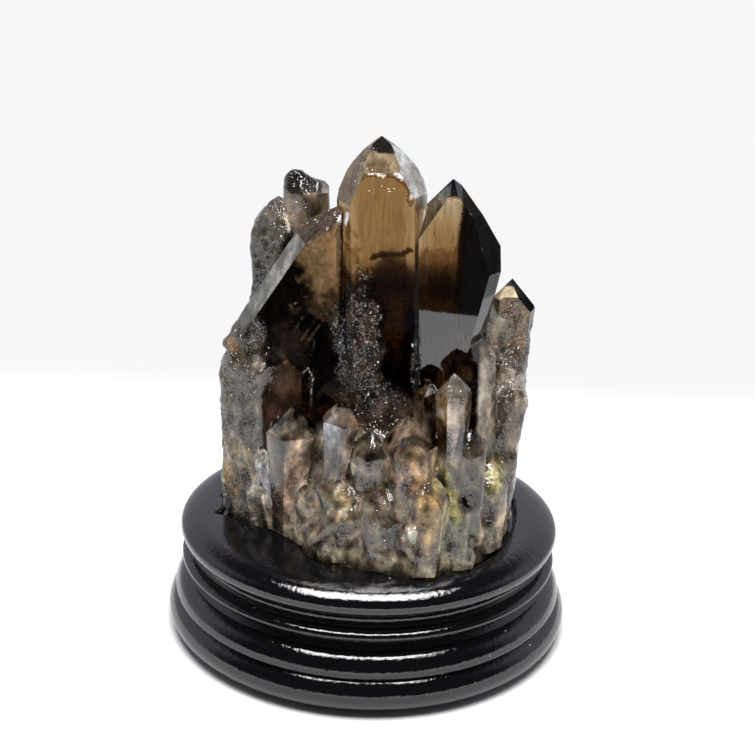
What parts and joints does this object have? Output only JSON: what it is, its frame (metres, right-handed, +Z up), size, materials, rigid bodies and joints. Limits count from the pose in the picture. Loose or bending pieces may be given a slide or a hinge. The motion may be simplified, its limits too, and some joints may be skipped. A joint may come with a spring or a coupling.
{
  "type": "smoky quartz cluster on a wooden stand",
  "caption": "Cluster of smoky quartz points with etched, frosty faces over a milky weathered base, resting in the carved seat of an oval black lacquered stand with a moulded rim and foot.",
  "frame": {"origin": "middle of the stand's foot, on the surface it stands on", "axes": "+Z up through the tallest point, +X to the right and -Y to the front as the cluster is displayed"},
  "size_m": [0.135, 0.114, 0.168],
  "materials": {
    "quartz": "natural smoky quartz: clear brown and glossy in the tall points, etched and frosty on their lower faces, milky and weathered at the base",
    "lacquered_wood": "black high-gloss lacquer over turned hardwood"
  },
  "bodies": {
    "root": {"quartz_cluster": "quartz", "wood_stand": "lacquered_wood"}
  },
  "joints": []
}
